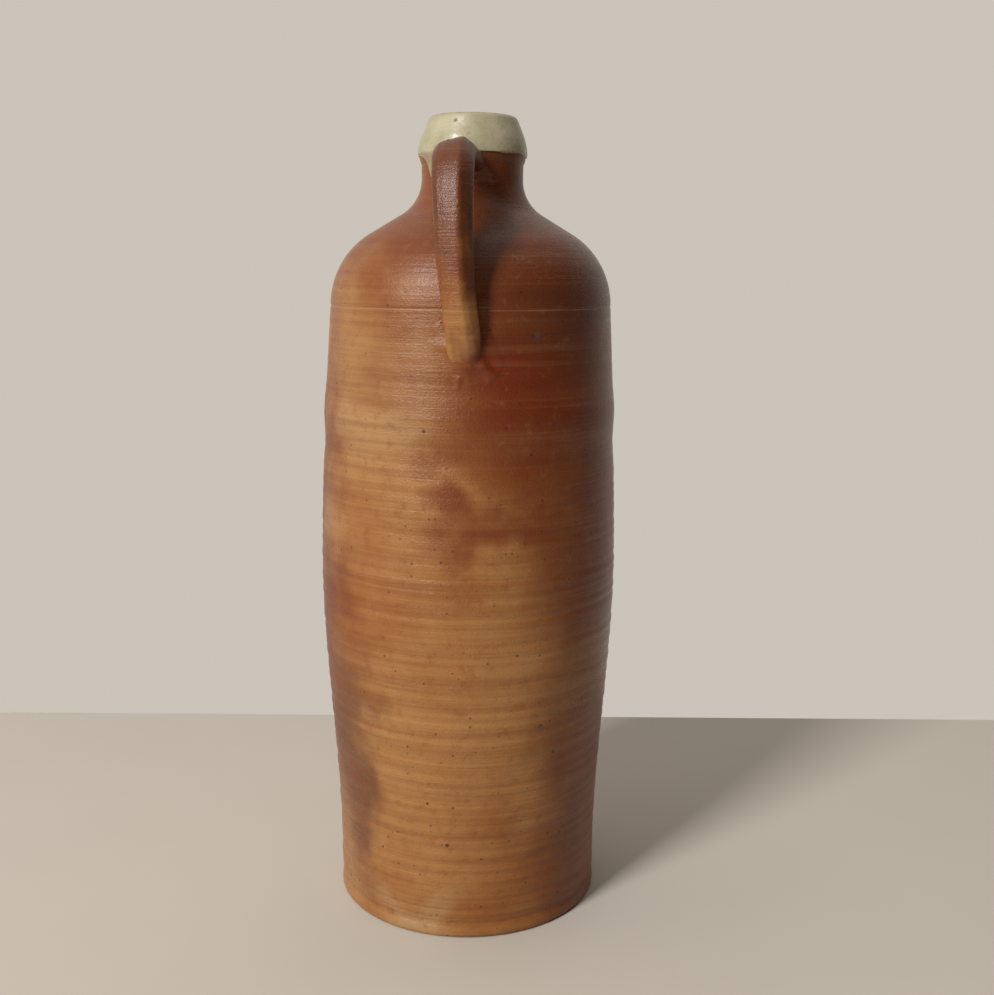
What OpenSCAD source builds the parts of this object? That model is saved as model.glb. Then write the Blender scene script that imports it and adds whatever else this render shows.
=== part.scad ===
// Thrown stoneware bottle with one pulled strap handle and a glazed collar.
// Millimetres, +Z up. The origin is the middle of the foot, on the surface that the bottle stands on.
// The handle is on the -Y side.

/* [Foot] */
// Diameter of the foot, just above its rolled edge
foot_d = 96.2; // [84:0.1:106]
// Thickness of the floor
floor_t = 8; // [6:0.5:12]
// Radius of the rolled edge that the bottle stands on
foot_roll = 1.8; // [1:0.1:3]
// Depth of the pinched line above the rolled edge
pinch_depth = 0.6; // [0:0.1:1]
// Height of the pinched line
pinch_z = 5.5; // [4:0.5:7]
// Radius of the hollow between floor and wall, inside
floor_fillet = 6; // [3:0.5:10]

/* [Body] */
// Widest diameter of the body
belly_d = 107; // [100:0.5:130]
// Height of the widest place
belly_z = 122; // [90:1:150]
// Height up to which the wall rises straight from the foot
straight_z = 15; // [10:1:30]
// Diameter of the body at the scored line
shoulder_d = 98.6; // [86:0.1:106]
// Height of the scored line, where the wall ends and the shoulder begins
shoulder_z = 216; // [170:1:262]
// Thickness of the thrown wall
wall_t = 5.5; // [4:0.1:7]

/* [Shoulder] */
// Radius of the shoulder's round
shoulder_round = 28.8; // [23:0.1:36]
// Tilt of the shoulder's top from upright, in degrees
shoulder_tilt = 59; // [52:1:66]
// Depth of the scored line
score_depth = 0.5; // [0.2:0.1:1]

/* [Neck] */
// Diameter of the neck at its waist
neck_d = 35.6; // [31:0.1:43]
// Radius of the hollow between shoulder and neck
neck_hollow = 14.2; // [11:0.2:18]
// Height of the straight part of the neck
neck_straight = 4.75; // [4:0.05:12]
// Diameter of the mouth, which a cork fills
mouth_d = 22; // [18:0.5:26]
// Radius of the hollow inside, from the shoulder into the mouth
mouth_hollow = 13; // [10:0.5:16]

/* [Collar] */
// How far the collar swells past the neck
collar_swell = 0.9; // [0.5:0.1:2]
// Radius of the collar's swelling
collar_round = 11.6; // [10:0.2:14]
// Lean of the collar's upper side, in degrees
collar_lean = 23; // [15:1:28]
// Height of the collar
collar_h = 16; // [14:0.5:20]
// Radius of the lip's outer edge
lip_round = 2.2; // [1.5:0.1:2.6]
// Radius of the lip's inner edge
mouth_round = 1.2; // [0.8:0.1:1.6]

/* [Collar glaze] */
// Thickness of the glaze coat
glaze_t = 0.6; // [0.4:0.1:0.8]
// Height of the coat's lower edge above the collar's lower edge
glaze_edge = 3; // [2:0.1:4]
// Depth of the coat inside the mouth
glaze_inside = 9; // [5:0.5:12]

/* [Handle] */
// Width of the strap at its upper end
strap_w_top = 14.4; // [11:0.1:18]
// Width of the strap at its lower end
strap_w_low = 10.8; // [9:0.1:14]
// Thickness of the strap at its upper end
strap_t_top = 8; // [6.5:0.1:10]
// Thickness of the strap at its lower end
strap_t_low = 6.6; // [5.5:0.1:8]
// Height of the soft rib along the strap's outer face
rib_h = 0.8; // [0:0.1:1.5]
// Distance of the rib from the middle of the strap
rib_x = 1.8; // [0:0.1:3]
// How far below the collar's lower edge the strap's middle leaves the neck
root_drop = 0.6; // [0:0.1:5]
// Angle at which the strap rises out of the neck, in degrees
rise_angle = 12.4; // [6:0.2:28]
// Length of the strap's straight pull away from the neck
rise_pull = 20.5; // [16:0.5:28]
// Gap between the strap's inner face and the scored line
strap_gap = 0.8; // [0.3:0.1:6]
// Height of the strap's outermost place above the scored line
reach_z = 20.5; // [14:0.5:28]
// Length of the bend above the outermost place
bend_above = 36; // [26:0.5:40]
// Length of the straight below the outermost place
run_below = 19; // [12:0.5:24]
// How far below the scored line the strap's middle meets the wall
land_drop = 12; // [10:0.5:20]
// Angle at which the strap comes in to the wall, in degrees
land_angle = 30; // [24:1:38]
// Length of the bend above the wall
land_pull = 9; // [6:0.5:12]
// Turn of the strap's upper end round the bottle, from its lower end, in degrees
handle_turn = 9; // [0:0.5:14]

/* [Lutes] */
// Thickness of the clay smoothed round each end of the strap
lute_t = 1.6; // [1:0.1:2.5]
// Margin of the lutes beside the strap
lute_margin = 5; // [3:0.5:8]
// Height of the upper lute
upper_lute_h = 12; // [10:0.5:16]
// Height of the lower lute
lower_lute_h = 24; // [18:0.5:30]

/* [Hidden] */
$fn = 96;

foot_r = foot_d / 2;
belly_r = belly_d / 2;
shoulder_r = shoulder_d / 2;
neck_r = neck_d / 2;
mouth_r = mouth_d / 2;
collar_r = neck_r + collar_swell;
clay = "#b5652f";
fired_handle = "#a9602c";
pale_glaze = "#d6d3b8";

function ease(t) = t * t * (3 - 2 * t);
function mix(a, b, t) = a + (b - a) * t;
function steps(a, b, n) = [for (i = [0 : n]) mix(a, b, i / n)];

// Outer radius of the thrown wall at a height: straight, swelling to the belly, then easing in
wall_fall = 1.4;
pinch_w = 1.6;
function pinch(z) = pinch_depth * exp(-pow((z - pinch_z) / pinch_w, 2));
function lower_r(z) = mix(foot_r, belly_r, ease(max(0, (z - straight_z) / (belly_z - straight_z))));
function upper_r(z) = belly_r - (belly_r - shoulder_r) * pow((z - belly_z) / (shoulder_z - belly_z), wall_fall);
function wall_r(z) = (z < belly_z ? lower_r(z) : upper_r(z)) - pinch(z);

// A shoulder outline from radius r0 at the scored line to radius rn at the neck:
// a round, a straight slope and a hollow, each tangent to the next
function round_end_r(r0, ro) = r0 - ro * (1 - cos(shoulder_tilt));
function round_end_z(ro) = shoulder_z + ro * sin(shoulder_tilt);
function slope_end_r(rn, ho) = rn + ho * (1 - cos(shoulder_tilt));
function slope_end_z(r0, ro, rn, ho) =
    round_end_z(ro) + (round_end_r(r0, ro) - slope_end_r(rn, ho)) / tan(shoulder_tilt);
function hollow_end_z(r0, ro, rn, ho) = slope_end_z(r0, ro, rn, ho) + ho * sin(shoulder_tilt);
function outline_r(z, r0, ro, rn, ho) =
    z < round_end_z(ro) ? r0 - ro + sqrt(ro * ro - pow(z - shoulder_z, 2)) :
    z < slope_end_z(r0, ro, rn, ho) ? round_end_r(r0, ro) - (z - round_end_z(ro)) * tan(shoulder_tilt) :
    z < hollow_end_z(r0, ro, rn, ho) ?
        rn + ho - sqrt(ho * ho - pow(hollow_end_z(r0, ro, rn, ho) - z, 2)) :
    rn;
function outer_r(z) = outline_r(z, shoulder_r, shoulder_round, neck_r, neck_hollow);
function inner_r(z) = outline_r(z, shoulder_r - wall_t, shoulder_round - wall_t, mouth_r, mouth_hollow);

// Heights of the joints between the thrown pieces
neck_z = slope_end_z(shoulder_r, shoulder_round, neck_r, neck_hollow);
waist_z = hollow_end_z(shoulder_r, shoulder_round, neck_r, neck_hollow);
collar_z = waist_z + neck_straight;
rim_z = collar_z + collar_h;
bore_z = hollow_end_z(shoulder_r - wall_t, shoulder_round - wall_t, mouth_r, mouth_hollow);

// Outer outlines, from below upwards, shared by each piece and by what seats on it
foot_heights = steps(2 * foot_roll, floor_t, 6);
foot_edge = [for (a = steps(-90, 0, 6)) [foot_r - foot_roll * (1 - cos(a)), foot_roll * (1 + sin(a))]];
foot_side = [for (z = foot_heights) [wall_r(z), z]];
wall_side = [for (z = concat(steps(floor_t, straight_z, 6), steps(straight_z, shoulder_z, 30))) [wall_r(z), z]];
shoulder_side = [for (z = steps(shoulder_z, neck_z, 26)) [outer_r(z), z]];
neck_side = [for (z = concat(steps(neck_z, waist_z, 12), [collar_z])) [outer_r(z), z]];

// The collar's outline, set in by a coat's thickness: swelling, leaning side, lip and mouth edge
swell_z = collar_z + sqrt(pow(collar_round, 2) - pow(collar_round - collar_swell, 2));
edge_z = collar_z + glaze_edge;
lean_start = [collar_r - collar_round * (1 - cos(collar_lean)), swell_z + collar_round * sin(collar_lean)];
lip_z = rim_z - lip_round;
lip_r = lean_start[0] - (lip_z + lip_round * sin(collar_lean) - lean_start[1]) * tan(collar_lean)
    - lip_round * cos(collar_lean);
function swell_angle(z, inset) = asin((z - swell_z) / (collar_round - inset));
function swell(a, inset) =
    [collar_r - collar_round + (collar_round - inset) * cos(a), swell_z + (collar_round - inset) * sin(a)];
function swelling(z0, inset) = [for (a = steps(swell_angle(z0, inset), collar_lean, 8)) swell(a, inset)];
function lip(inset) =
    [for (a = steps(collar_lean, 90, 6))
        [lip_r + (lip_round - inset) * cos(a), lip_z + (lip_round - inset) * sin(a)]];
function mouth_edge(inset) =
    [for (a = steps(90, 180, 5))
        [mouth_r + mouth_round + (mouth_round - inset) * cos(a),
         rim_z - mouth_round + (mouth_round - inset) * sin(a)]];
function coat(inset) = concat(swelling(edge_z, inset), lip(inset), mouth_edge(inset));
bare_collar_side = [for (a = steps(swell_angle(collar_z, 0), swell_angle(edge_z, 0), 4)) swell(a, 0)];

module turned(points) {
    rotate_extrude() polygon(points);
}

module foot() {
    color(clay) turned(concat([[0, 0]], foot_edge, foot_side, [[0, floor_t]]));
}

module body_wall() {
    inner_heights = steps(shoulder_z, floor_t + floor_fillet, 26);
    fillet_r = wall_r(floor_t + floor_fillet) - wall_t - floor_fillet;
    inside = [for (z = inner_heights) [wall_r(z) - wall_t, z]];
    fillet = [for (a = steps(0, -90, 6))
        [fillet_r + floor_fillet * cos(a), floor_t + floor_fillet * (1 + sin(a))]];
    color(clay) turned(concat(wall_side, inside, fillet));
}

module shoulder() {
    score = [[shoulder_r - score_depth, shoulder_z]];
    outside = [for (p = shoulder_side) if (p[1] > shoulder_z + score_depth) p];
    inside = [for (z = steps(neck_z, shoulder_z, 26)) [inner_r(z), z]];
    color(clay) turned(concat(score, outside, inside));
}

module neck() {
    inside = [for (z = concat([collar_z], steps(bore_z, neck_z, 12))) [inner_r(z), z]];
    color(clay) turned(concat(neck_side, inside));
}

module collar() {
    coat_bed = coat(glaze_t);
    bed_end = rim_z - glaze_inside;
    inside = [[mouth_r + glaze_t, bed_end], [mouth_r, bed_end], [mouth_r, collar_z]];
    color(clay) turned(concat(bare_collar_side, coat_bed, inside));
}

module collar_glaze() {
    bed = coat(glaze_t);
    edge_end = rim_z - glaze_inside;
    inner_end = [[mouth_r, edge_end], [mouth_r + glaze_t, edge_end]];
    back = [for (i = [len(bed) - 1 : -1 : 0]) bed[i]];
    color(pale_glaze) turned(concat(coat(0), inner_end, back));
}

// The whole outside of the bottle, filled, for cutting the handle and lutes to it
module bottle_outside() {
    turned(concat([[0, 0]], foot_edge, foot_side, wall_side, shoulder_side, neck_side,
        bare_collar_side, coat(0), [[0, rim_z - mouth_round]]));
}

// The strap's centre line in a standing plane: out of the neck, over and down, then in to the wall.
// Both ends run on inside the clay, where the bottle's outside cuts them off.
strap_rings = 40;
strap_sides = 20;
strap_square = 2.5;
rib_w = 2.4;
root_depth = 4.6;
land_depth = 9;
root_z = collar_z - root_drop;
land_z = shoulder_z - land_drop;
reach_r = shoulder_r + strap_gap + mix(strap_t_top, strap_t_low, 0.6) / 2;
rise_dir = [cos(rise_angle), sin(rise_angle)];
land_dir = [sin(land_angle), cos(land_angle)];
root = [neck_r, root_z] - root_depth * rise_dir;
rise = root + rise_pull * rise_dir;
reach = [reach_r, shoulder_z + reach_z];
land = [wall_r(land_z), land_z] - land_depth * land_dir;
come_in = [wall_r(land_z), land_z] + land_pull * land_dir;
function cubic(p, t) = pow(1 - t, 3) * p[0] + 3 * pow(1 - t, 2) * t * p[1] + 3 * (1 - t) * t * t * p[2]
    + t * t * t * p[3];
upper_curve = [root, rise, reach + [0, bend_above], reach];
lower_curve = [reach, reach - [0, run_below], come_in, land];
function strap_plane(t) = t < 0.5 ? cubic(upper_curve, 2 * t) : cubic(lower_curve, 2 * t - 1);
function strap_at(t) =
    let (p = strap_plane(t), a = handle_turn * (1 - t))
    [-p[0] * sin(a), -p[0] * cos(a), p[1]];
function unit(v) = v / norm(v);
function strap_dir(t) = unit(strap_at(t + 0.001) - strap_at(t - 0.001));

// The strap's section: a flattened oval with a soft rib along its outer face
function power(v, e) = sign(v) * pow(abs(v), e);
function section(t, extra) = [for (i = [0 : strap_sides - 1])
    let (a = 360 * i / strap_sides,
        w = mix(strap_w_top, strap_w_low, t) / 2 + extra,
        d = mix(strap_t_top, strap_t_low, t) / 2 + extra,
        x = w * power(cos(a), 2 / strap_square),
        y = d * power(sin(a), 2 / strap_square),
        rib = y > 0 ? rib_h * exp(-pow((x - rib_x) / rib_w, 2)) : 0)
    [x, y + rib]];
function ring(t, extra) =
    let (a = handle_turn * (1 - t), dir = strap_dir(t),
        out = unit(cross(dir, [cos(a), -sin(a), 0])),
        side = unit(cross(out, dir)))
    [for (p = section(t, extra)) strap_at(t) + p[0] * side + p[1] * out];

module strap() {
    rings = [for (i = [0 : strap_rings]) ring(i / strap_rings, 0)];
    points = [for (r = rings) for (p = r) p];
    last = strap_rings * strap_sides;
    sides = [for (i = [0 : strap_rings - 1]) for (j = [0 : strap_sides - 1])
        let (k = (j + 1) % strap_sides, a = i * strap_sides, b = a + strap_sides)
        each [[a + j, b + k, a + k], [a + j, b + j, b + k]]];
    start = [for (j = [0 : strap_sides - 1]) j];
    end = [for (j = [strap_sides - 1 : -1 : 0]) last + j];
    polyhedron(points, concat([start], sides, [end]));
}

module handle() {
    color(fired_handle) difference() {
        strap();
        bottle_outside();
    }
}

// A patch of clay smoothed on the bottle's outside, round the strap: the outline is an oval
// seen from the front, and the side points are the patch's own outer face
module patch(side, middle, width, height) {
    oval = [for (a = [0 : 15 : 345]) [width / 2 * cos(a), height / 2 * sin(a)]];
    difference() {
        intersection() {
            turned(concat([[0, side[0][1]]], side, [[0, side[len(side) - 1][1]]]));
            translate([middle[0], 0, middle[1]]) rotate([90, 0, 0])
                linear_extrude(belly_d) polygon(oval);
        }
        bottle_outside();
        strap();
    }
}

module upper_lute() {
    middle_z = collar_z - upper_lute_h / 2;
    heights = steps(collar_z - upper_lute_h, collar_z, 8);
    side = [for (z = heights) [outer_r(z) + lute_t, z]];
    color(clay) patch(side, [strap_at(0)[0], middle_z], strap_w_top + 2 * lute_margin, upper_lute_h);
}

module lower_lute() {
    middle_z = land_z - lower_lute_h / 5;
    heights = steps(middle_z - lower_lute_h / 2, middle_z + lower_lute_h / 2, 8);
    side = [for (z = heights) [wall_r(z) + lute_t, z]];
    color(clay) patch(side, [strap_at(1)[0], middle_z], strap_w_low + 2 * lute_margin, lower_lute_h);
}

foot();
body_wall();
shoulder();
neck();
collar();
collar_glaze();
handle();
upper_lute();
lower_lute();
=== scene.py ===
# A thrown stoneware bottle with a pulled strap handle and a glazed collar.
# The handle is on the -Y side and the origin is the middle of the foot.
# Shapes are worked out in millimetres, and angles in the dictionaries are degrees.
import math

import bmesh
import bpy
import numpy as np
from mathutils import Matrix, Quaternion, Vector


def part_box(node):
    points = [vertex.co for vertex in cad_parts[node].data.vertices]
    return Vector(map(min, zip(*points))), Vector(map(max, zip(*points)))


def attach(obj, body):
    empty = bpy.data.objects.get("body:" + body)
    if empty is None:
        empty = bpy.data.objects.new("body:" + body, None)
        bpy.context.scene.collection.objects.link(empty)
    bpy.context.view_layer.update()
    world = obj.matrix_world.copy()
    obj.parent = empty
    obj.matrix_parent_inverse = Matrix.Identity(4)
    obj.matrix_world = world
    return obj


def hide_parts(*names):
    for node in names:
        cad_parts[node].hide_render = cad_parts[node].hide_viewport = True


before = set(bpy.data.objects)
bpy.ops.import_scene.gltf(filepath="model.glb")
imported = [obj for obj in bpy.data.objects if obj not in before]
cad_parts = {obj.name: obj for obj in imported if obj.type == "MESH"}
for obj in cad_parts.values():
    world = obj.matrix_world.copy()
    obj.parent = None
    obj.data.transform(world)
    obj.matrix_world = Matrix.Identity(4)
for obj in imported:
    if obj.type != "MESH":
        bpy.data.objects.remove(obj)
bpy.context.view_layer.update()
metre = 1000.0  # millimetres in a metre
fullTurn = 2 * math.pi
crispFrom = math.radians(45)  # edges that bend more than this stay crisp
print("frame loaded")


# lowest and highest z of a section of the pot
def heights(node):
    low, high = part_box(node)
    return low[2] * metre, high[2] * metre


floorTop = heights("body_wall")[0]
shoulderZ = heights("shoulder")[0]
neckZ = heights("neck")[0]
collarZ = heights("collar")[0]
rimZ = heights("collar_glaze")[1]

# Where the outside of the pot goes, and how far apart its rows of points are
potShape = {
    "footRadius": 48.1,
    "bellyRadius": 53.5,
    "bellyHeight": 122,
    "straightHeight": 15,
    "shoulderRadius": 49.3,
    "wallFall": 1.4,
    "wall": 5.5,
    "shoulderRound": 28.8,
    "shoulderTilt": 59,
    "neckRadius": 17.8,
    "neckHollow": 14.2,
    "mouthRadius": 11,
    "mouthHollow": 13,
    "pinchDepth": 0.6,
    "pinchHeight": 5.5,
    "pinchWidth": 1.6,
    "footRoll": 1.8,
    "floorFillet": 6,
    "inset": 0.14,  # keeps the thrown surface inside the turned outline
    "undersideRings": (20, 38),
    "floorRings": (34, 16),
    "rollRows": 9,
    "filletRows": 7,
    "footStep": 0.4,
    "wallStep": 0.62,
    "wallInsideStep": 3.0,
    "shoulderStep": 0.22,
    "neckStep": 0.3,
    "insideStep": 0.8,
}


def ease(t):
    t = np.clip(t, 0, 1)
    return t * t * (3 - 2 * t)


def bump(x, middle, width):
    return np.exp(-((x - middle) / width) ** 2)


def wallRadius(z):
    p = potShape
    z = np.asarray(z, float)
    lower = (z - p["straightHeight"]) / (p["bellyHeight"] - p["straightHeight"])
    below = p["footRadius"] + (p["bellyRadius"] - p["footRadius"]) * ease(lower)
    upper = np.clip((z - p["bellyHeight"]) / (shoulderZ - p["bellyHeight"]), 0, None)
    above = p["bellyRadius"] - (p["bellyRadius"] - p["shoulderRadius"]) * upper ** p["wallFall"]
    radius = np.where(z < p["bellyHeight"], below, above)
    return radius - p["pinchDepth"] * bump(z, p["pinchHeight"], p["pinchWidth"])


# a round, a straight slope and a hollow, each running into the next
def archRadius(z, foot, roundness, neck, hollow):
    tilt = math.radians(potShape["shoulderTilt"])
    z = np.asarray(z, float)
    roundR = foot - roundness * (1 - math.cos(tilt))
    roundZ = shoulderZ + roundness * math.sin(tilt)
    slopeR = neck + hollow * (1 - math.cos(tilt))
    slopeZ = roundZ + (roundR - slopeR) / math.tan(tilt)
    endZ = slopeZ + hollow * math.sin(tilt)
    onRound = foot - roundness + np.sqrt(np.clip(roundness ** 2 - (z - shoulderZ) ** 2, 0, None))
    onSlope = roundR - (z - roundZ) * math.tan(tilt)
    onHollow = neck + hollow - np.sqrt(np.clip(hollow ** 2 - (endZ - z) ** 2, 0, None))
    aboveRound = np.where(z < slopeZ, onSlope, np.where(z < endZ, onHollow, neck))
    return np.where(z < roundZ, onRound, aboveRound)


def outerRadius(z):
    p = potShape
    z = np.asarray(z, float)
    arch = archRadius(z, p["shoulderRadius"], p["shoulderRound"], p["neckRadius"], p["neckHollow"])
    return np.where(z < shoulderZ, wallRadius(z), arch)


def innerRadius(z):
    p = potShape
    z = np.asarray(z, float)
    arch = archRadius(z, p["shoulderRadius"] - p["wall"], p["shoulderRound"] - p["wall"],
                      p["mouthRadius"], p["mouthHollow"])
    return np.where(z < shoulderZ, wallRadius(z) - p["wall"], arch)


# What the potter's fingers and the kiln did to the turned shape
throwing = {
    "ringPitches": (3.3, 4.6, 7.1, 11.8),
    "ringDepths": (0.10, 0.13, 0.12, 0.10),
    "ringDriftLengths": (17, 26, 35, 44),
    "ringDrift": 0.9,
    "ringTwist": 0.5,
    "ringTwistLength": 31,
    "ringSharpness": 1.6,
    "finePitch": 1.7,
    "fineDepth": 0.035,
    "calmShare": 0.25,  # of the rings' depth, left above the calm height
    "calmHeight": 175,
    "calmFade": 60,
    "footShare": 0.2,
    "footFade": 14,
    "shoulderCalm": 0.85,
    "shoulderFade": 25,
    "scoreDepth": 0.16,
    "scoreWidth": 0.36,
    "scoreRise": 0.35,
    "scoreWaver": 0.22,
    "oval": 0.12,
    "ovalTwist": 40,
    "swells": ((0.45, 181, 7), (-0.35, 169, 6)),  # rise, height and half width
    "evenBelowRim": 6,
    "evenFade": 20,
    "lean": 0.9,
    "leanFrom": 150,
    "leanPower": 1.2,
    "leanMost": 1.1,
    "segments": 216,
}


# share of the rings' depth at a height: full on the wall, little on the shoulder
def ringStrength(z):
    t = throwing
    onWall = ease((t["calmHeight"] - z) / t["calmFade"])
    offFoot = ease(z / t["footFade"] + t["footShare"])
    strength = t["calmShare"] + (1 - t["calmShare"]) * onWall * offFoot
    return strength * (1 - t["shoulderCalm"] * ease((z - shoulderZ) / t["shoulderFade"]))


# how far the surface stands off the turned outline: never outwards at the belly
def thrownSurface(angle, z):
    t = throwing
    turns = angle / fullTurn
    total = np.zeros(np.broadcast(angle, z).shape)
    rings = zip(t["ringPitches"], t["ringDepths"], t["ringDriftLengths"])
    for k, (pitch, depth, driftLength) in enumerate(rings):
        twist = np.sin(angle * (k + 1) + z / t["ringTwistLength"] + 2 * k)
        drift = t["ringDrift"] * np.sin(z / driftLength + k) + t["ringTwist"] * twist
        wave = np.sin(fullTurn * (z / pitch + turns) + drift)
        total = total - depth * (0.5 + 0.5 * wave) ** t["ringSharpness"]
    fine = np.sin(fullTurn * (z / t["finePitch"] + turns))
    total = total - t["fineDepth"] * (0.5 + 0.5 * fine)
    scoreZ = shoulderZ + t["scoreRise"] + t["scoreWaver"] * np.sin(angle * 2 + 1)
    score = t["scoreDepth"] * bump(z, scoreZ, t["scoreWidth"])
    uneven = t["oval"] * np.sin(2 * angle + z / t["ovalTwist"]) - t["oval"]
    for rise, height, width in t["swells"]:
        uneven = uneven + rise * bump(z, height, width)
    uneven = uneven * ease((rimZ - t["evenBelowRim"] - z) / t["evenFade"])
    return total * ringStrength(z) - score + uneven - potShape["inset"]


def leanOver(z):
    t = throwing
    up = np.clip((z - t["leanFrom"]) / (collarZ - t["leanFrom"]), 0, t["leanMost"])
    return t["lean"] * up ** t["leanPower"]


# points from radius, angle (0 faces the handle's side) and height, leaning as the pot does
def place(radius, angle, z):
    x = radius * np.sin(angle) + leanOver(z)
    return np.stack([x, -radius * np.cos(angle), z + 0 * radius], -1)


def addMesh(name, points, faces, material):
    mesh = bpy.data.meshes.new(name)
    mesh.from_pydata((np.asarray(points) / metre).tolist(), [], faces)
    mesh.validate()
    shell = bmesh.new()
    shell.from_mesh(mesh)
    bmesh.ops.recalc_face_normals(shell, faces=shell.faces)
    shell.to_mesh(mesh)
    shell.free()
    mesh.polygons.foreach_set("use_smooth", [True] * len(mesh.polygons))
    mesh.set_sharp_from_angle(angle=crispFrom)
    mesh.materials.append(material)
    piece = bpy.data.objects.new(name, mesh)
    bpy.context.scene.collection.objects.link(piece)
    return piece


def belong(piece, node):
    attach(piece, "root")
    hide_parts(node)
    return piece


# quads of a tube of rows, each a closed ring of columns
def ringFaces(rows, columns, closedRows=True):
    faces = []
    for i in range(rows if closedRows else rows - 1):
        a = i * columns
        b = (i + 1) % rows * columns
        for j in range(columns):
            k = (j + 1) % columns
            faces.append((a + j, a + k, b + k, b + j))
    return faces


# turns an outline of (radius, height, share of the thrown unevenness) round the axis;
# a pole is the row that it closes, its height and whether its triangles are turned over
def spin(name, outline, material, closed=True, poles=()):
    columns = throwing["segments"]
    angle = np.linspace(0, fullTurn, columns, endpoint=False)[None, :]
    outline = np.asarray(outline, float)
    radius, z, share = outline[:, 0:1], outline[:, 1:2], outline[:, 2:3]
    surface = radius + share * thrownSurface(angle, z)
    points = place(surface, angle, z + 0 * angle).reshape(-1, 3).tolist()
    faces = ringFaces(len(outline), columns, closed)
    for row, height, flip in poles:
        middle = len(points)
        points.append([float(leanOver(np.array(height))), 0.0, height])
        ring = [row * columns + j for j in range(columns)]
        for a, b in zip(ring, ring[1:] + ring[:1]):
            faces.append((a, b, middle) if flip else (b, a, middle))
    return addMesh(name, points, faces, material)


# a new shader node, with each input set or linked
def put(tree, kind, inputs=None, **settings):
    node = tree.nodes.new(kind)
    for name, value in settings.items():
        setattr(node, name, value)
    for key, value in (inputs or {}).items():
        if isinstance(value, bpy.types.NodeSocket):
            tree.links.new(value, node.inputs[key])
        else:
            node.inputs[key].default_value = value
    return node


def calc(tree, operation, a, b=0.0, clamp=False):
    return put(tree, "ShaderNodeMath", {0: a, 1: b}, operation=operation, use_clamp=clamp).outputs[0]


def plus(tree, a, b):
    return calc(tree, "ADD", a, b)


def minus(tree, a, b):
    return calc(tree, "SUBTRACT", a, b)


def times(tree, a, b):
    return calc(tree, "MULTIPLY", a, b)


# how far a point is from the middle, from its two distances
def radial(tree, a, b):
    return calc(tree, "SQRT", plus(tree, times(tree, a, a), times(tree, b, b)))


def remap(tree, value, low, high, toLow=0.0, toHigh=1.0):
    inputs = {"Value": value, "From Min": low, "From Max": high, "To Min": toLow, "To Max": toHigh}
    return put(tree, "ShaderNodeMapRange", inputs, interpolation_type="SMOOTHSTEP").outputs[0]


def blendColour(tree, share, a, b):
    node = put(tree, "ShaderNodeMix", {0: share}, data_type="RGBA", blend_type="MIX")
    for key, value in ((6, a), (7, b)):
        if isinstance(value, bpy.types.NodeSocket):
            tree.links.new(value, node.inputs[key])
        else:
            node.inputs[key].default_value = (*value, 1)
    return node.outputs[2]


def cloud(tree, coords, scale, detail, rough):
    inputs = {"Vector": coords, "Scale": scale, "Detail": detail, "Roughness": rough}
    return put(tree, "ShaderNodeTexNoise", inputs).outputs["Fac"]


# a cloud drawn out along the rings
def streaks(tree, coords, stretch, detail, rough):
    stretched = put(tree, "ShaderNodeMapping", {"Vector": coords, "Scale": stretch}).outputs[0]
    return cloud(tree, stretched, 1.0, detail, rough)


# round spots: one in some cells, each of its own size
def specks(tree, coords, scale, largest, share):
    spot = put(tree, "ShaderNodeTexVoronoi", {"Vector": coords, "Scale": scale, "Randomness": 1.0})
    pick = put(tree, "ShaderNodeSeparateColor", {0: spot.outputs["Color"]}).outputs[0]
    size = remap(tree, pick, 1 - share, 1.0, 0.0, largest)
    return remap(tree, minus(tree, size, spot.outputs["Distance"]), 0.0, largest * 0.5)


def addBump(tree, shader, relief, strength, distance):
    inputs = {"Height": relief, "Strength": strength, "Distance": distance}
    normal = put(tree, "ShaderNodeBump", inputs).outputs[0]
    tree.links.new(normal, shader.inputs["Normal"])


# a material, its node tree, its shader and the object's own coordinates
def startMaterial(name):
    material = bpy.data.materials.new(name)
    material.use_nodes = True
    tree = material.node_tree
    coords = put(tree, "ShaderNodeTexCoord").outputs["Object"]
    return material, tree, tree.nodes["Principled BSDF"], coords


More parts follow.
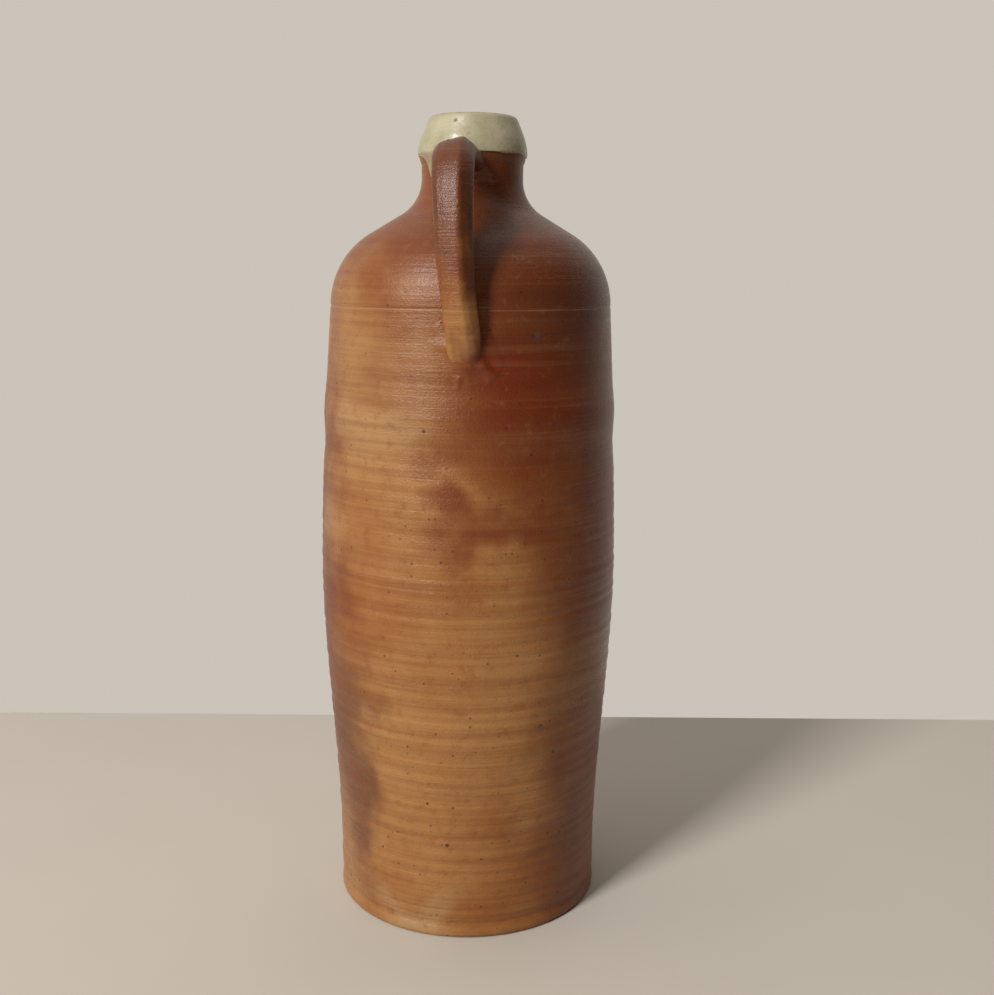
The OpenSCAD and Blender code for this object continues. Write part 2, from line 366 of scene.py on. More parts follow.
# Colours of the fired clay, where the flame passed, a few patches of painted shade among the flame
# marks, and a painted highlight along the scored line. Angles are degrees round the pot from the
# handle's side, + to the right; heights and sizes are millimetres, or metres where it says so.
clayLook = {
    "tan": (0.36, 0.170, 0.055),
    "orange": (0.265, 0.092, 0.020),
    "rust": (0.150, 0.030, 0.006),
    "plum": (0.085, 0.022, 0.009),
    "umber": (0.060, 0.020, 0.008),
    "ember": (0.130, 0.012, 0.0015),
    "straw": (0.40, 0.235, 0.100),
    "cream": (0.40, 0.26, 0.125),
    "iron": (0.022, 0.012, 0.008),
    "slate": (0.050, 0.055, 0.060),
    # colour, angle, height, width, height of the patch, strength; most patches are flame marks, a few
    # are painted shade
    "flashesAndShade": (
        ("straw", -38, 172, 20, 13, 0.75),
        ("straw", -42, 196, 26, 22, 0.40),
        ("rust", -72, 110, 16, 80, 0.90),
        ("plum", -50, 52, 14, 44, 0.70),
        ("rust", 42, 196, 44, 46, 1.0),
        ("umber", 52, 234, 52, 30, 0.85),
        # painted shadow of the strap on the wall, right of the strap and below the scored line
        ("umber", 14, 205, 12, 14, 0.70),
        ("umber", 78, 150, 22, 80, 0.60),
        ("ember", 26, 192, 24, 18, 0.95),
        ("ember", 14, 146, 26, 8, 0.80),
        ("ember", 44, 176, 14, 8, 0.50),
        ("rust", 10, 172, 30, 14, 0.55),
        ("rust", 62, 95, 34, 110, 0.75),
        ("plum", 60, 235, 70, 20, 0.55),
        ("rust", 5, 244, 110, 24, 0.85),
        ("plum", 35, 236, 40, 22, 0.60),
        # painted shade round the neck just below the collar, darkest to the right of the handle
        ("rust", 20, 262, 90, 12, 0.65),
        ("cream", -24, 9, 16, 6, 0.65),
        ("tan", -5, 55, 26, 55, 0.45),
        ("rust", -6, 205, 34, 34, 0.35),
        ("plum", 150, 150, 40, 70, 0.45),
        ("straw", 120, 70, 30, 50, 0.40),
        ("rust", -130, 80, 36, 60, 0.60),
        ("straw", -125, 190, 34, 26, 0.40),
    ),
    "handleFlashesAndShade": (
        ("plum", 0, 258, 170, 34, 0.80),
        ("orange", -9, 222, 7, 20, 0.75),
        ("tan", -4, 204, 8, 16, 0.90),
        # painted shade down the strap's right side, which is turned from the light
        ("umber", 5, 234, 5, 34, 0.75),
    ),
    # angle, height, radius and colour
    "spots": ((-7, 35, 0.9, "iron"), (-15, 50, 0.7, "iron"), (37, 66, 0.8, "iron"),
              (30, 77, 1.2, "slate"), (-15, 178, 0.8, "iron"), (27, 208, 1.2, "slate")),
    "spotReach": 0.05,  # metres across the clay for one radian
    "spotCore": 0.4,
    "spotStrength": 0.85,
    "warpScale": 38.0,
    "warpAngle": 1.1,  # radians
    "warpHeight": 0.05,  # metres
    "patchRange": (1.5, 0.35),
    "patchRagged": (0.25, 0.6, 0.55, 1.1),
    "baseRange": (0.36, 0.66),
    # stretch of the pattern, detail and roughness
    "lines": ((9.0, 9.0, 420.0), 4.0, 0.6),
    "bands": ((6.0, 6.0, 75.0), 3.0, 0.5),
    "comb": ((20.0, 20.0, 1400.0), 3.0, 0.6),
    # scale of the pattern, detail and roughness
    "drift": (17.0, 4.0, 0.6),
    "mottle": (260.0, 4.0, 0.65),
    "peel": (1300.0, 3.0, 0.6),
    "grit": (3200.0, 2.0, 0.5),
    # pattern, where its colour starts and is full, strength, colour
    "veils": (
        ("lines", 0.40, 0.70, 0.34, "rust"),
        ("lines", 0.46, 0.24, 0.11, "straw"),
        ("bands", 0.5, 0.75, 0.25, "orange"),
        ("mottle", 0.5, 0.75, 0.35, "rust"),
        ("mottle", 0.45, 0.28, 0.10, "straw"),
    ),
    # scale, largest size, share of the cells and strength
    "ironSpecks": ((520.0, 0.30, 0.22, 0.7), (150.0, 0.12, 0.16, 0.85)),
    # a painted highlight along the scored line: its rise and waver, where it fades and is full, its
    # strength, and where it breaks
    "scoreRise": 0.3,
    "scoreWaver": 0.0004,  # metres
    "scoreHighlightRange": (0.00028, 0.0001, 0.0, 0.35),  # the first two in metres
    "scoreHighlightGaps": (0.4, 0.6),
    "gloss": (0.3, 0.7, 0.27, 0.38),
    "glossPeel": 0.25,
    "relief": {"peel": 0.9, "grit": 0.25, "comb": 0.8},
    "reliefStrength": 0.7,
    "reliefDepth": 0.00030,  # metres
    "specular": 0.36,
}


# soft ragged patches of colour: flame marks, and painted shade where the list says so
def addFlashesAndShade(tree, colour, flashesAndShade, angle, height, bands):
    look = clayLook
    for tone, middle, level, wide, tall, strength in flashesAndShade:
        across = calc(tree, "DIVIDE", minus(tree, angle, math.radians(middle)), math.radians(wide))
        upwards = calc(tree, "DIVIDE", minus(tree, height, level / metre), tall / metre)
        away = radial(tree, across, upwards)
        share = remap(tree, away, *look["patchRange"], 0.0, strength)
        torn = remap(tree, bands, *look["patchRagged"])
        ragged = calc(tree, "MULTIPLY", share, torn, clamp=True)
        colour = blendColour(tree, ragged, colour, look[tone])
    return colour


def addSpots(tree, colour, angle, height):
    look = clayLook
    for degrees, level, size, tone in look["spots"]:
        across = times(tree, minus(tree, angle, math.radians(degrees)), look["spotReach"])
        upwards = minus(tree, height, level / metre)
        away = radial(tree, across, upwards)
        core = look["spotCore"] * size / metre
        share = remap(tree, away, size / metre, core, 0.0, look["spotStrength"])
        colour = blendColour(tree, share, colour, look[tone])
    return colour


def clayMaterial(name, flashesAndShade, base):
    look = clayLook
    material, tree, shader, coords = startMaterial(name)
    axes = put(tree, "ShaderNodeSeparateXYZ", {0: coords}).outputs
    angle = calc(tree, "ARCTAN2", axes[0], times(tree, axes[1], -1.0))
    noise = {"Vector": coords, "Scale": look["warpScale"], "Detail": 3.0}
    warp = put(tree, "ShaderNodeTexNoise", noise).outputs["Color"]
    warps = put(tree, "ShaderNodeSeparateColor", {0: warp}).outputs
    angleMoved = plus(tree, angle, times(tree, minus(tree, warps[0], 0.5), look["warpAngle"]))
    heightMoved = plus(tree, axes[2], times(tree, minus(tree, warps[1], 0.5), look["warpHeight"]))
    heightLine = plus(tree, axes[2], times(tree, warps[2], look["scoreWaver"]))
    pattern = {kind: streaks(tree, coords, *look[kind]) for kind in ("lines", "bands", "comb")}
    for kind in ("drift", "mottle", "peel", "grit"):
        pattern[kind] = cloud(tree, coords, *look[kind])

    tones = remap(tree, pattern["drift"], *look["baseRange"])
    colour = blendColour(tree, tones, look[base[0]], look[base[1]])
    colour = addFlashesAndShade(tree, colour, flashesAndShade, angleMoved, heightMoved, pattern["bands"])
    for kind, start, full, strength, tone in look["veils"]:
        veil = remap(tree, pattern[kind], start, full, 0.0, strength)
        colour = blendColour(tree, veil, colour, look[tone])
    colour = addSpots(tree, colour, angle, axes[2])
    for scale, largest, share, strength in look["ironSpecks"]:
        dots = times(tree, specks(tree, coords, scale, largest, share), strength)
        colour = blendColour(tree, dots, colour, look["iron"])
    # painted highlight: a thin straw-coloured line along the scored line, broken in places; it also
    # falls on the strap
    scored = calc(tree, "ABSOLUTE", minus(tree, heightLine, (shoulderZ + look["scoreRise"]) / metre))
    gaps = remap(tree, pattern["drift"], *look["scoreHighlightGaps"])
    paintedScoreHighlight = times(tree, remap(tree, scored, *look["scoreHighlightRange"]), gaps)
    colour = blendColour(tree, paintedScoreHighlight, colour, look["straw"])
    tree.links.new(colour, shader.inputs["Base Color"])

    pits = times(tree, minus(tree, pattern["peel"], 0.5), look["glossPeel"])
    rough = plus(tree, remap(tree, pattern["drift"], *look["gloss"]), pits)
    tree.links.new(rough, shader.inputs["Roughness"])
    peel, grit, comb = (times(tree, pattern[kind], depth) for kind, depth in look["relief"].items())
    relief = plus(tree, plus(tree, peel, grit), comb)
    addBump(tree, shader, relief, look["reliefStrength"], look["reliefDepth"])
    shader.inputs["Specular IOR Level"].default_value = look["specular"]
    return material


# The pale glaze: thin and brown at its lower edge and on the lip
glazeLook = {
    "pale": (0.43, 0.395, 0.275),
    "green": (0.34, 0.315, 0.20),
    "thin": (0.22, 0.125, 0.055),
    "speck": (0.12, 0.045, 0.015),
    # scale of the pattern, detail and roughness
    "drift": (90.0, 4.0, 0.6),
    "fine": (500.0, 3.0, 0.6),
    "baseRange": (0.35, 0.65),
    "thinRange": (0.55, 0.75, 0.0, 0.25),
    "waver": 0.002,  # metres
    "edgeHeights": (3.9, 2.6),  # above the collar's lower edge
    "edgeStrength": 0.55,
    "lipDepths": (0.9, 0.1),  # below the rim
    "lipStrength": 0.5,
    "specks": (230.0, 0.22, 0.14),
    "speckStrength": 0.8,
    "gloss": (0.3, 0.7, 0.22, 0.36),
    "driftRelief": 2.0,
    "reliefStrength": 0.35,
    "reliefDepth": 0.0003,  # metres
}


def glazeMaterial(name):
    look = glazeLook
    material, tree, shader, coords = startMaterial(name)
    drift = cloud(tree, coords, *look["drift"])
    fine = cloud(tree, coords, *look["fine"])
    colour = blendColour(tree, remap(tree, drift, *look["baseRange"]), look["pale"], look["green"])
    colour = blendColour(tree, remap(tree, fine, *look["thinRange"]), colour, look["thin"])
    height = put(tree, "ShaderNodeSeparateXYZ", {0: coords}).outputs[2]
    uneven = plus(tree, height, times(tree, minus(tree, fine, 0.5), look["waver"]))
    edgeFrom, edgeTo = ((collarZ + rise) / metre for rise in look["edgeHeights"])
    lipFrom, lipTo = ((rimZ - depth) / metre for depth in look["lipDepths"])
    edge = remap(tree, uneven, edgeFrom, edgeTo, 0.0, look["edgeStrength"])
    lip = remap(tree, uneven, lipFrom, lipTo, 0.0, look["lipStrength"])
    colour = blendColour(tree, edge, colour, look["thin"])
    colour = blendColour(tree, lip, colour, look["thin"])
    dots = times(tree, specks(tree, coords, *look["specks"]), look["speckStrength"])
    colour = blendColour(tree, dots, colour, look["speck"])
    tree.links.new(colour, shader.inputs["Base Color"])
    tree.links.new(remap(tree, fine, *look["gloss"]), shader.inputs["Roughness"])
    relief = plus(tree, times(tree, drift, look["driftRelief"]), fine)
    addBump(tree, shader, relief, look["reliefStrength"], look["reliefDepth"])
    return material


firedClay = clayMaterial("firedClay", clayLook["flashesAndShade"], ("tan", "orange"))
firedHandle = clayMaterial("firedHandle", clayLook["handleFlashesAndShade"], ("orange", "rust"))
paleGlaze = glazeMaterial("collarGlaze")
print("materials made")


# heights from start to end, about a step apart
def along(start, end, step):
    return np.linspace(start, end, max(2, int(abs(end - start) / step) + 1))


def footPiece():
    p = potShape
    roll = []
    for a in np.radians(np.linspace(-90, 0, p["rollRows"])):
        up = 1 + math.sin(a)
        roll.append((p["footRadius"] - p["footRoll"] * (1 - math.cos(a)), p["footRoll"] * up, ease(up)))
    side = [(wallRadius(z), z, 1) for z in along(2 * p["footRoll"], floorTop, p["footStep"])]
    under = [(radius, 0, 0) for radius in p["undersideRings"]]
    top = [(radius, floorTop, 0) for radius in p["floorRings"]]
    outline = under + roll + side + top
    poles = ((0, 0.0, False), (len(outline) - 1, floorTop, True))
    return spin("foot", outline, firedClay, False, poles)


def wallPiece():
    p = potShape
    corner = p["floorFillet"]
    outside = [(wallRadius(z), z, 1) for z in along(floorTop, shoulderZ, p["wallStep"])]
    filletR = wallRadius(floorTop + corner) - p["wall"] - corner
    levels = along(shoulderZ, floorTop + corner, p["wallInsideStep"])
    inside = [(wallRadius(z) - p["wall"], z, 1) for z in levels]
    turn = np.radians(np.linspace(0, -90, p["filletRows"]))[1:]
    fillet = [(filletR + corner * math.cos(a), floorTop + corner * (1 + math.sin(a)), 0) for a in turn]
    return spin("bodyWall", outside + inside + fillet, firedClay)


# a piece of the pot above the scored line, with the arch's outside and inside
def archPiece(name, low, high, step):
    outside = [(outerRadius(z), z, 1) for z in along(low, high, step)]
    inside = [(innerRadius(z), z, 0) for z in along(high, low, potShape["insideStep"])]
    return spin(name, outside + inside, firedClay)


# The thickened collar and the coat of glaze over it
collarShape = {
    "swell": 0.9,
    "round": 11.6,
    "lean": 23,
    "lipRound": 2.2,
    "mouthRound": 1.2,
    "swellRows": 26,
    "slopeRows": (0.33, 0.66),
    "lipRows": 14,
    "mouthRows": 9,
    "thrownShare": 0.6,
    "bedInset": 0.3,
    "bedMargin": 0.8,
    "bedTop": 2,
    "bedStep": 1.5,
    "bedEnd": 0.3,
}


# the outside of the collar from its lower edge, over the lip and to the mouth's inner edge
def collarOutline():
    c = collarShape
    fullR = potShape["neckRadius"] + c["swell"]
    swellZ = collarZ + math.sqrt(c["round"] ** 2 - (c["round"] - c["swell"]) ** 2)
    lean = math.radians(c["lean"])
    first = math.asin((collarZ - swellZ) / c["round"])
    swelling = [(fullR - c["round"] * (1 - math.cos(a)), swellZ + c["round"] * math.sin(a))
                for a in np.linspace(first, lean, c["swellRows"])]
    low = swelling[-1]
    lipZ = rimZ - c["lipRound"]
    slopeHeight = lipZ + c["lipRound"] * math.sin(lean) - low[1]
    lipR = low[0] - slopeHeight * math.tan(lean) - c["lipRound"] * math.cos(lean)
    lip = [(lipR + c["lipRound"] * math.cos(a), lipZ + c["lipRound"] * math.sin(a))
           for a in np.linspace(lean, math.pi / 2, c["lipRows"])]
    straight = [(low[0] + (lip[0][0] - low[0]) * t, low[1] + (lip[0][1] - low[1]) * t)
                for t in c["slopeRows"]]
    mouthR = potShape["mouthRadius"]
    mouth = [(mouthR + c["mouthRound"] * (1 + math.cos(a)), rimZ - c["mouthRound"] * (1 - math.sin(a)))
             for a in np.linspace(math.pi / 2, math.pi, c["mouthRows"])]
    return np.array(swelling + straight + lip + mouth)


# a line moved into the clay by a depth, square to itself
def inwards(line, depth):
    way = np.gradient(line, axis=0)
    way = way / np.linalg.norm(way, axis=1, keepdims=True)
    return line + depth * np.stack([-way[:, 1], way[:, 0]], 1)


def collarPiece():
    c = collarShape
    line = collarOutline()
    covered = line[:, 1:2] > collarZ + coatShape["edge"] + c["bedMargin"]
    shape = np.where(covered, inwards(line, c["bedInset"]), line)
    mouthR = potShape["mouthRadius"]
    coatEnd = rimZ - coatShape["inside"]
    inside = [(mouthR + c["bedInset"], z, 0) for z in along(rimZ - c["bedTop"], coatEnd, c["bedStep"])]
    inside += [(mouthR, z, 0) for z in along(coatEnd - c["bedEnd"], collarZ, c["bedStep"])]
    outside = [(r, z, c["thrownShare"]) for r, z in shape]
    return spin("collar", outside + inside, firedClay)


coatShape = {
    "thickness": 0.6,
    "edge": 3,  # above the collar's lower edge
    "edgeDrop": 0.3,
    "edgeWaves": ((0.28, 2, 0.6), (0.14, 7, 0), (0.08, 13, 2)),  # depth, waves round the collar, start
    "edgeTears": ((1.1, -20, 14), (0.7, 150, 20)),  # length, angle and half width
    "runAngle": -47,
    "runWidth": 10,
    "runLength": 8.5,
    "inside": 9,
    "insideTop": 2.2,
    "insideStep": 0.8,
    "skirtRows": 14,
    "skirtTuck": 0.5,
    "skirtLift": 0.3,
    "bulge": 0.28,
    "bulgeStart": 6,
    "bulgeShares": (0.55, 0.45),
    "bulgeRows": 10,
    "ripples": ((0.06, 2, 3), (0.04, 5, 2)),  # depth, waves round the collar, length upwards
}


# height of the coat's lower edge round the collar: wavy, with a run beside the handle
def coatLowest(angle):
    c = coatShape
    degrees = np.degrees((angle + math.pi) % fullTurn - math.pi)
    wave = sum(depth * np.sin(waves * angle + start) for depth, waves, start in c["edgeWaves"])
    run = c["runLength"] * bump(degrees, c["runAngle"], c["runWidth"])
    tears = sum(length * bump(degrees, middle, width) for length, middle, width in c["edgeTears"])
    return collarZ + c["edge"] - c["edgeDrop"] + wave - run - tears


# radius that the coat lies on, on the collar and on the neck below it
def coatedRadius(z):
    rows = collarShape["swellRows"]
    line = collarOutline()
    onCollar = np.interp(z, line[:rows, 1], line[:rows, 0])
    onNeck = outerRadius(z) - collarShape["thrownShare"] * potShape["inset"]
    return np.where(z < collarZ, onNeck, onCollar)


def coatPiece():
    c = coatShape
    columns = throwing["segments"]
    angle = np.linspace(0, fullTurn, columns, endpoint=False)
    lowest = coatLowest(angle)
    line = collarOutline()
    line = line[line[:, 1] > collarZ + c["edge"]]
    topZ = line[:, 1].max()
    mouthR = potShape["mouthRadius"]
    levels = along(rimZ - c["insideTop"], rimZ - c["inside"], c["insideStep"])
    inside = np.array([(mouthR, z) for z in levels])
    outer = np.concatenate([line, inside])
    inner = np.concatenate([inwards(line, c["thickness"]), inside + (c["thickness"], 0)])
    skirt = np.linspace(0, 1, c["skirtRows"])[:-1]
    skirtHeight = line[0, 1] - lowest
    rows = []
    for s in skirt:
        z = lowest + s * skirtHeight
        swelling = c["bulgeShares"][0] + c["bulgeShares"][1] * np.cos(math.pi * s) ** 2
        fat = c["bulge"] * np.sqrt(np.clip(s * c["bulgeStart"], 0, 1)) * swelling
        rows.append(place(coatedRadius(z) + fat - c["skirtTuck"] * (s == 0), angle, z))
    for k, (r, z) in enumerate(outer):
        fat = c["bulge"] * max(0.0, 1 - k / c["bulgeRows"])
        ripple = sum(depth * np.sin(waves * angle + z / length) for depth, waves, length in c["ripples"])
        rows.append(place(r + fat + ripple * (z < topZ), angle, z + 0 * angle))
    for r, z in inner[::-1]:
        rows.append(place(r + 0 * angle, angle, z + 0 * angle))
    for s in skirt[::-1]:
        z = lowest + c["skirtLift"] + s * skirtHeight
        rows.append(place(coatedRadius(z) - c["thickness"], angle, z))
    return addMesh("collarGlazeCoat", np.concatenate(rows), ringFaces(len(rows), columns), paleGlaze)


# The pulled strap
strapShape = {
    "widthTop": 14.4,
    "widthLow": 10.9,
    "narrowing": 1.15,
    "thickTop": 8.0,
    "thickLow": 6.6,
    "square": 2.5,
    "ribHeight": 0.55,
    "ribAside": 1.9,
    "ribWidth": 2.1,
    "ribWander": (0.4, 7),  # distance and waves along the strap
    "ridgeSoft": 1.4,
    "leftFall": (1.0, 9),  # fall of the outer face beside the rib, over this width
    "rightFall": (1.9, 4),
    "fallEnds": (5, 4),
    "pinch": (0.45, 0.62, 0.09),  # depth, place along the strap and length
    "widthWaver": (0.12, 23),
    "pullLines": (0.07, 2.6, 1.5, 5),  # depth, lines across, wander and waves along
    "pullRings": (0.05, 60),
    "rootDrop": 0.6,
    "rootDepth": 4.6,
    "riseAngle": 12.4,
    "risePull": 20.5,
    "gap": 0.8,
    "reachShare": 0.6,
    "reachHeight": 20.5,
    "bendAbove": 36,
    "runBelow": 19,
    "landDrop": 12,
    "landAngle": 30,
    "landPull": 9,
    "landDepth": 9,
    "turn": 9,
    "nearby": 0.002,
    "rings": 190,
    "sides": 56,
}


def cubic(points, t):
    a, b, c, d = (np.asarray(p, float) for p in points)
    t = t[:, None]
    return (1 - t) ** 3 * a + 3 * (1 - t) ** 2 * t * b + 3 * (1 - t) * t * t * c + t ** 3 * d


# the strap's middle: out of the neck, over and down, then in to the wall
def strapLine(t):
    s = strapShape
    rootZ = collarZ - s["rootDrop"]
    landZ = shoulderZ - s["landDrop"]
    riseAngle = math.radians(s["riseAngle"])
    landAngle = math.radians(s["landAngle"])
    rise = np.array([math.cos(riseAngle), math.sin(riseAngle)])
    fall = np.array([math.sin(landAngle), math.cos(landAngle)])
    thickThere = s["thickTop"] + s["reachShare"] * (s["thickLow"] - s["thickTop"])
    reachR = potShape["shoulderRadius"] + s["gap"] + thickThere / 2
    reach = np.array([reachR, shoulderZ + s["reachHeight"]])
    root = np.array([potShape["neckRadius"], rootZ]) - s["rootDepth"] * rise
    landing = np.array([float(wallRadius(landZ)), landZ])
    bendTop = reach + [0, s["bendAbove"]]
    bendLow = reach - [0, s["runBelow"]]
    upper = (root, root + s["risePull"] * rise, bendTop, reach)
    lower = (reach, bendLow, landing + s["landPull"] * fall, landing - s["landDepth"] * fall)
    onUpper = cubic(upper, np.clip(2 * t, 0, 1))
    onLower = cubic(lower, np.clip(2 * t - 1, 0, 1))
    flat = np.where((t < 0.5)[:, None], onUpper, onLower)
    turn = np.radians(s["turn"] * (1 - t))
    x = -flat[:, 0] * np.sin(turn) + leanOver(flat[:, 1])
    return np.stack([x, -flat[:, 0] * np.cos(turn), flat[:, 1]], 1)


# half the strap's width along it: drawn in where the fingers pinched it
def strapHalfWidth(t):
    s = strapShape
    pinchDepth, pinchAt, pinchLong = s["pinch"]
    waver, waves = s["widthWaver"]
    share = np.clip(t * s["narrowing"], 0, 1)
    width = (s["widthTop"] + (s["widthLow"] - s["widthTop"]) * share)[:, None] / 2
    pinched = bump(t, pinchAt, pinchLong)[:, None] * (t > 0.5)[:, None]
    return width - pinchDepth * pinched + waver * np.sin(t * waves)[:, None]


# how far the strap's outer face stands off its flattened oval: a soft rib, falling away beside it
def strapFace(x, y, around, t):
    s = strapShape
    wander, waves = s["ribWander"]
    ridge = s["ribAside"] + wander * np.sin(t * waves)[:, None]
    rib = (y > 0) * s["ribHeight"] * bump(x, ridge, s["ribWidth"])
    aside = np.sqrt((x - ridge) ** 2 + s["ridgeSoft"] ** 2) - s["ridgeSoft"]
    left, right = (fall * aside / width for fall, width in (s["leftFall"], s["rightFall"]))
    slack = np.where(x < ridge, left, right)
    ends = (ease(t * s["fallEnds"][0]) * ease((1 - t) * s["fallEnds"][1]))[:, None]
    return rib - (y > 0) * slack * np.sin(np.clip(around, 0, math.pi)) ** 0.5 * ends


# fine lines along the strap, and faint rings across it, from the pulling
def pullMarks(x, around, t):
    lineDepth, lines, wander, waves = strapShape["pullLines"]
    ringDepth, rings = strapShape["pullRings"]
    lengthways = lineDepth * np.sin(x * lines + wander * np.sin(t * waves)[:, None])
    return lengthways + ringDepth * np.sin(t * rings)[:, None] * np.cos(around)


def strapPiece():
    s = strapShape
    t = np.linspace(0, 1, s["rings"])
    middle = strapLine(t)
    way = strapLine(np.clip(t + s["nearby"], 0, 1)) - strapLine(np.clip(t - s["nearby"], 0, 1))
    way /= np.linalg.norm(way, axis=1, keepdims=True)
    turn = np.radians(s["turn"] * (1 - t))
    level = np.stack([np.cos(turn), -np.sin(turn), 0 * t], 1)
    out = np.cross(way, level)
    out /= np.linalg.norm(out, axis=1, keepdims=True)
    side = np.cross(out, way)
    around = np.linspace(0, fullTurn, s["sides"], endpoint=False)[None, :]
    thick = (s["thickTop"] + (s["thickLow"] - s["thickTop"]) * t)[:, None] / 2
    power = 2 / s["square"]
    x = strapHalfWidth(t) * np.sign(np.cos(around)) * np.abs(np.cos(around)) ** power
    y = thick * np.sign(np.sin(around)) * np.abs(np.sin(around)) ** power
    y = y + strapFace(x, y, around, t) + pullMarks(x, around, t) * np.sign(y)
    points = middle[:, None, :] + x[..., None] * side[:, None, :] + y[..., None] * out[:, None, :]
    faces = ringFaces(s["rings"], s["sides"], False)
    last = (s["rings"] - 1) * s["sides"]
    faces.append(tuple(range(s["sides"] - 1, -1, -1)))
    faces.append(tuple(last + j for j in range(s["sides"])))
    return addMesh("handle", points.reshape(-1, 3), faces, firedHandle)


# Clay smoothed round the strap's two ends. Places are from the middle of the strap's footprint,
# and a ridge is the x and z of its two ends, its rise and its half width.
luteShape = {
    "upper": {
        "across": -9,
        "height": 261.6,
        "wide": 16.5,
        "tall": 8.5,
        "strapWide": 7.4,
        "strapTall": 4.6,
        "pile": 2.2,
        "spread": 0.42,
        "ridges": ((5, 1.5, 10, -2.5, 0.8, 2.2),),
    },
    "lower": {
        "across": 0,
        "height": 203.5,
        "wide": 15,
        "tall": 15,
        "strapWide": 5.6,
        "strapTall": 7.0,
        "pile": 1.5,
        "spread": 0.50,
        "ridges": (
            (5.5, -4.5, 12.5, -10.5, 0.75, 1.5),
            (-6, 1, -11.5, 2.5, 0.5, 1.6),
            (-2.5, -9, -3, -12.5, 0.45, 1.1),
        ),
    },
    "count": 96,  # points each way
    "corner": 0.5,
    "pileFrom": 0.6,
    "pilePower": 1.5,
    "ridgeFade": 0.6,
    "waver": (0.12, 0.9, 0.5),  # depth, waves across and waves upwards
    "feather": 4,
    "tuck": (0.25, 5),  # depth of the edge below the surface, and its feathering
    "depth": 1.4,
}


# how high the clay is piled at a place on the patch
def lutePile(shape, x, z):
    smooth = luteShape
    edge = np.clip(1 - np.sqrt((x / shape["wide"]) ** 2 + (z / shape["tall"]) ** 2), 0, 1)
    away = np.sqrt((x / shape["strapWide"]) ** 2 + (z / shape["strapTall"]) ** 2)
    outside = np.clip(away - smooth["pileFrom"], 0, None) / shape["spread"]
    pile = shape["pile"] * np.exp(-outside ** smooth["pilePower"])
    for x0, z0, x1, z1, rise, wide in shape["ridges"]:
        length = math.hypot(x1 - x0, z1 - z0)
        reached = ((x - x0) * (x1 - x0) + (z - z0) * (z1 - z0)) / length ** 2
        reached = np.clip(reached, 0, 1)
        off = np.hypot(x - x0 - reached * (x1 - x0), z - z0 - reached * (z1 - z0))
        pile = pile + rise * (1 - smooth["ridgeFade"] * reached) * bump(off, 0, wide)
    depth, acrossWaves, upWaves = smooth["waver"]
    pile = pile + depth * np.sin(x * acrossWaves + z * upWaves)
    tuck, tuckFeather = smooth["tuck"]
    return pile * ease(edge * smooth["feather"]) - tuck * (1 - ease(edge * tuckFeather))


def lutePiece(name, shape):
    count = luteShape["count"]
    across = np.linspace(-1, 1, count)[None, :]
    up = np.linspace(-1, 1, count)[:, None]
    x = shape["wide"] * across * np.sqrt(1 - luteShape["corner"] * up ** 2) + 0 * up
    z = shape["tall"] * up * np.sqrt(1 - luteShape["corner"] * across ** 2)
    height = shape["height"] + z
    base = outerRadius(height)
    angle = math.radians(shape["across"]) + x / base
    surface = base + thrownSurface(angle, height)
    top = place(surface + lutePile(shape, x, z), angle, height).reshape(-1, 3)
    under = place(surface - luteShape["depth"], angle, height).reshape(-1, 3)
    below = count * count  # number of points in a face of the patch
    faces = []
    for i in range(count - 1):
        for j in range(count - 1):
            a = i * count + j
            quad = (a, a + 1, a + count + 1, a + count)
            faces.append(quad)
            faces.append(tuple(below + k for k in reversed(quad)))
    rim = list(range(count))
    rim += [i * count + count - 1 for i in range(1, count)]
    rim += [count * (count - 1) + j for j in range(count - 2, -1, -1)]
    rim += [i * count for i in range(count - 2, 0, -1)]
    for a, b in zip(rim, rim[1:] + rim[:1]):
        faces.append((b, a, a + below, b + below))
    return addMesh(name, np.concatenate([top, under]), faces, firedClay)


belong(footPiece(), "foot")
belong(wallPiece(), "body_wall")
belong(archPiece("shoulder", shoulderZ, neckZ, potShape["shoulderStep"]), "shoulder")
belong(archPiece("neck", neckZ, collarZ, potShape["neckStep"]), "neck")
print("pot thrown")
belong(collarPiece(), "collar")
belong(coatPiece(), "collar_glaze")
print("collar glazed")
belong(strapPiece(), "handle")
belong(lutePiece("upperLute", luteShape["upper"]), "upper_lute")
belong(lutePiece("lowerLute", luteShape["lower"]), "lower_lute")
print("handle joined")

# The floor, which ends behind the bottle. Sizes are metres.
floorLook = {
    "colour": (0.56, 0.52, 0.46),
    "shade": 0.94,
    "rough": 0.75,
    "pattern": (14.0, 5.0, 0.6),
    "back": 0.163,
    "reach": 3.0,
}


def floorMaterial(name):
    look = floorLook
    material, tree, shader, coords = startMaterial(name)
    patches = cloud(tree, coords, *look["pattern"])
    darker = tuple(look["shade"] * v for v in look["colour"])
    tree.links.new(blendColour(tree, patches, look["colour"], darker), shader.inputs["Base Color"])
    shader.inputs["Roughness"].default_value = look["rough"]
    return material


def floorPlane(name, material):
    reach, back = floorLook["reach"], floorLook["back"]
    corners = [(-reach, -reach, 0), (reach, -reach, 0), (reach, back, 0), (-reach, back, 0)]
    mesh = bpy.data.meshes.new(name)
    mesh.from_pydata(corners, [], [(0, 1, 2, 3)])
    mesh.materials.append(material)
    plane = bpy.data.objects.new(name, mesh)
    bpy.context.scene.collection.objects.link(plane)
    return plane


floorPlane("table", floorMaterial("tableTop"))
print("stage set")

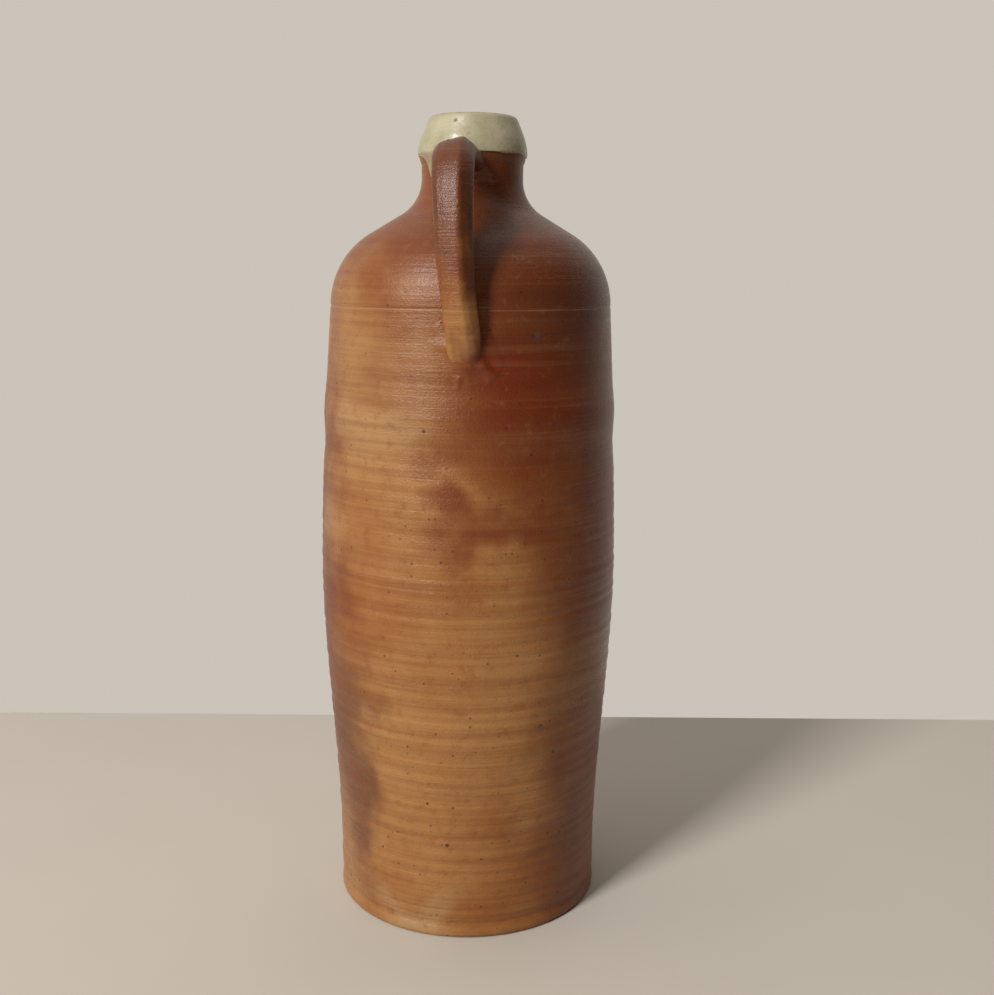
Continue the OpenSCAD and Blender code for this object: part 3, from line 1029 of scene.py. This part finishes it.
# A tall soft light on the left, a weak one above, and the room's own light,
# paler on the left and behind.
# Places and sizes are metres.
lightLook = {
    "aimHeight": 0.14,  # about half the bottle's height
    "sideAngle": -39,
    "sideLift": 33,
    "sideAway": 2.0,
    "sideSize": (0.42, 1.07),
    "sidePower": 42,
    "sideColour": (1.0, 0.97, 0.93),
    "topPlace": (0.2, -0.3, 2.2),
    "topSize": (2.4, 2.4),
    "topPower": 5,
    "topColour": (1.0, 0.97, 0.94),
    "roomStrength": 1.0,
    "roomLeft": (0.60, 0.55, 0.49),
    "roomRight": (0.050, 0.040, 0.033),
    "roomSlant": 1.6,
    "roomRange": (-0.9, 0.6),
}


def areaLight(name, where, size, power, colour):
    lamp = bpy.data.lights.new(name, "AREA")
    lamp.shape = "RECTANGLE"
    lamp.size, lamp.size_y = size
    lamp.energy = power
    lamp.color = colour
    light = bpy.data.objects.new(name, lamp)
    bpy.context.scene.collection.objects.link(light)
    light.location = where
    aim = light.location.copy()
    aim.z -= lightLook["aimHeight"]
    light.rotation_mode = "QUATERNION"
    light.rotation_quaternion = aim.to_track_quat("Z", "Y")
    return light


def sidePlace():
    look = lightLook
    angle, lift, away = math.radians(look["sideAngle"]), math.radians(look["sideLift"]), look["sideAway"]
    x = away * math.sin(angle) * math.cos(lift)
    y = -away * math.cos(angle) * math.cos(lift)
    return x, y, look["aimHeight"] + away * math.sin(lift)


def roomLight(name):
    look = lightLook
    world = bpy.data.worlds.new(name)
    bpy.context.scene.world = world
    world.use_nodes = True
    tree = world.node_tree
    sky = tree.nodes["Background"]
    directions = put(tree, "ShaderNodeTexCoord").outputs["Generated"]
    axes = put(tree, "ShaderNodeSeparateXYZ", {0: directions}).outputs
    slant = minus(tree, times(tree, axes[1], look["roomSlant"]), axes[0])
    share = remap(tree, slant, *look["roomRange"])
    tree.links.new(blendColour(tree, share, look["roomRight"], look["roomLeft"]), sky.inputs[0])
    sky.inputs[1].default_value = look["roomStrength"]


areaLight("window", sidePlace(), lightLook["sideSize"], lightLook["sidePower"], lightLook["sideColour"])
areaLight("ceiling", lightLook["topPlace"], lightLook["topSize"], lightLook["topPower"],
          lightLook["topColour"])
roomLight("room")
print("lights hung")

# The camera at the photograph's viewing angle, in metres and degrees; lens and sensor are millimetres
cameraLook = {
    "place": (0.010227, -0.429711, 0.229982),
    "tilt": 79.09,
    "roll": 0.45,
    "lens": 43.53,
    "sensor": 36,
    "nearest": 0.02,
}


def addCamera(name):
    look = cameraLook
    lens = bpy.data.cameras.new(name)
    lens.lens = look["lens"]
    lens.sensor_width = look["sensor"]
    lens.clip_start = look["nearest"]
    camera = bpy.data.objects.new(name, lens)
    bpy.context.scene.collection.objects.link(camera)
    camera.location = look["place"]
    camera.rotation_mode = "QUATERNION"
    tilt = Quaternion((1, 0, 0), math.radians(look["tilt"]))
    roll = Quaternion((0, 0, 1), math.radians(look["roll"]))
    camera.rotation_quaternion = tilt @ roll
    return camera


bpy.context.scene.camera = addCamera("camera")
bpy.context.scene.view_settings.view_transform = "Standard"

bpy.context.view_layer.update()
print("camera placed")
